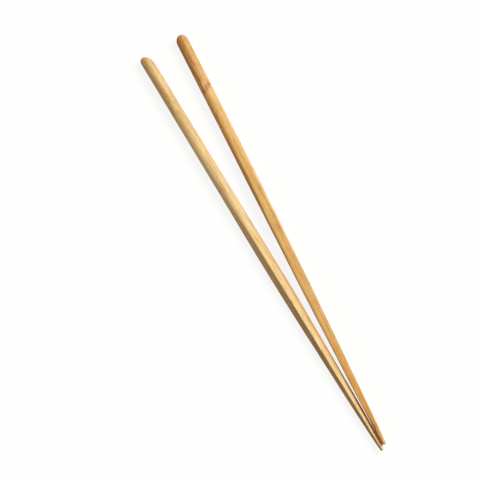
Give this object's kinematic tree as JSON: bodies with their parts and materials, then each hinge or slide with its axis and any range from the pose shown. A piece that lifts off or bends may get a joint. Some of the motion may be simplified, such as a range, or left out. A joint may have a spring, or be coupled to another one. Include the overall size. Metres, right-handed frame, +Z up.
{
  "type": "pair of bamboo chopsticks",
  "caption": "Bamboo chopsticks lying as a narrow V: round handles with slanted, softly rounded ends, a slight swelling, and four planed sides that taper to slim square tips.",
  "frame": {"origin": "on the table under the middle of the pair's bounding box", "axes": "+X along the V's middle line from the slanted back ends to the tips, +Y from the left stick to the right one, +Z up from the table"},
  "size_m": [0.2714, 0.0312, 0.0082],
  "materials": {
    "straw_bamboo": "smooth, satin",
    "honey_bamboo": "smooth, satin"
  },
  "bodies": {
    "root": {"left_chopstick": "straw_bamboo", "right_chopstick": "honey_bamboo"}
  },
  "joints": []
}
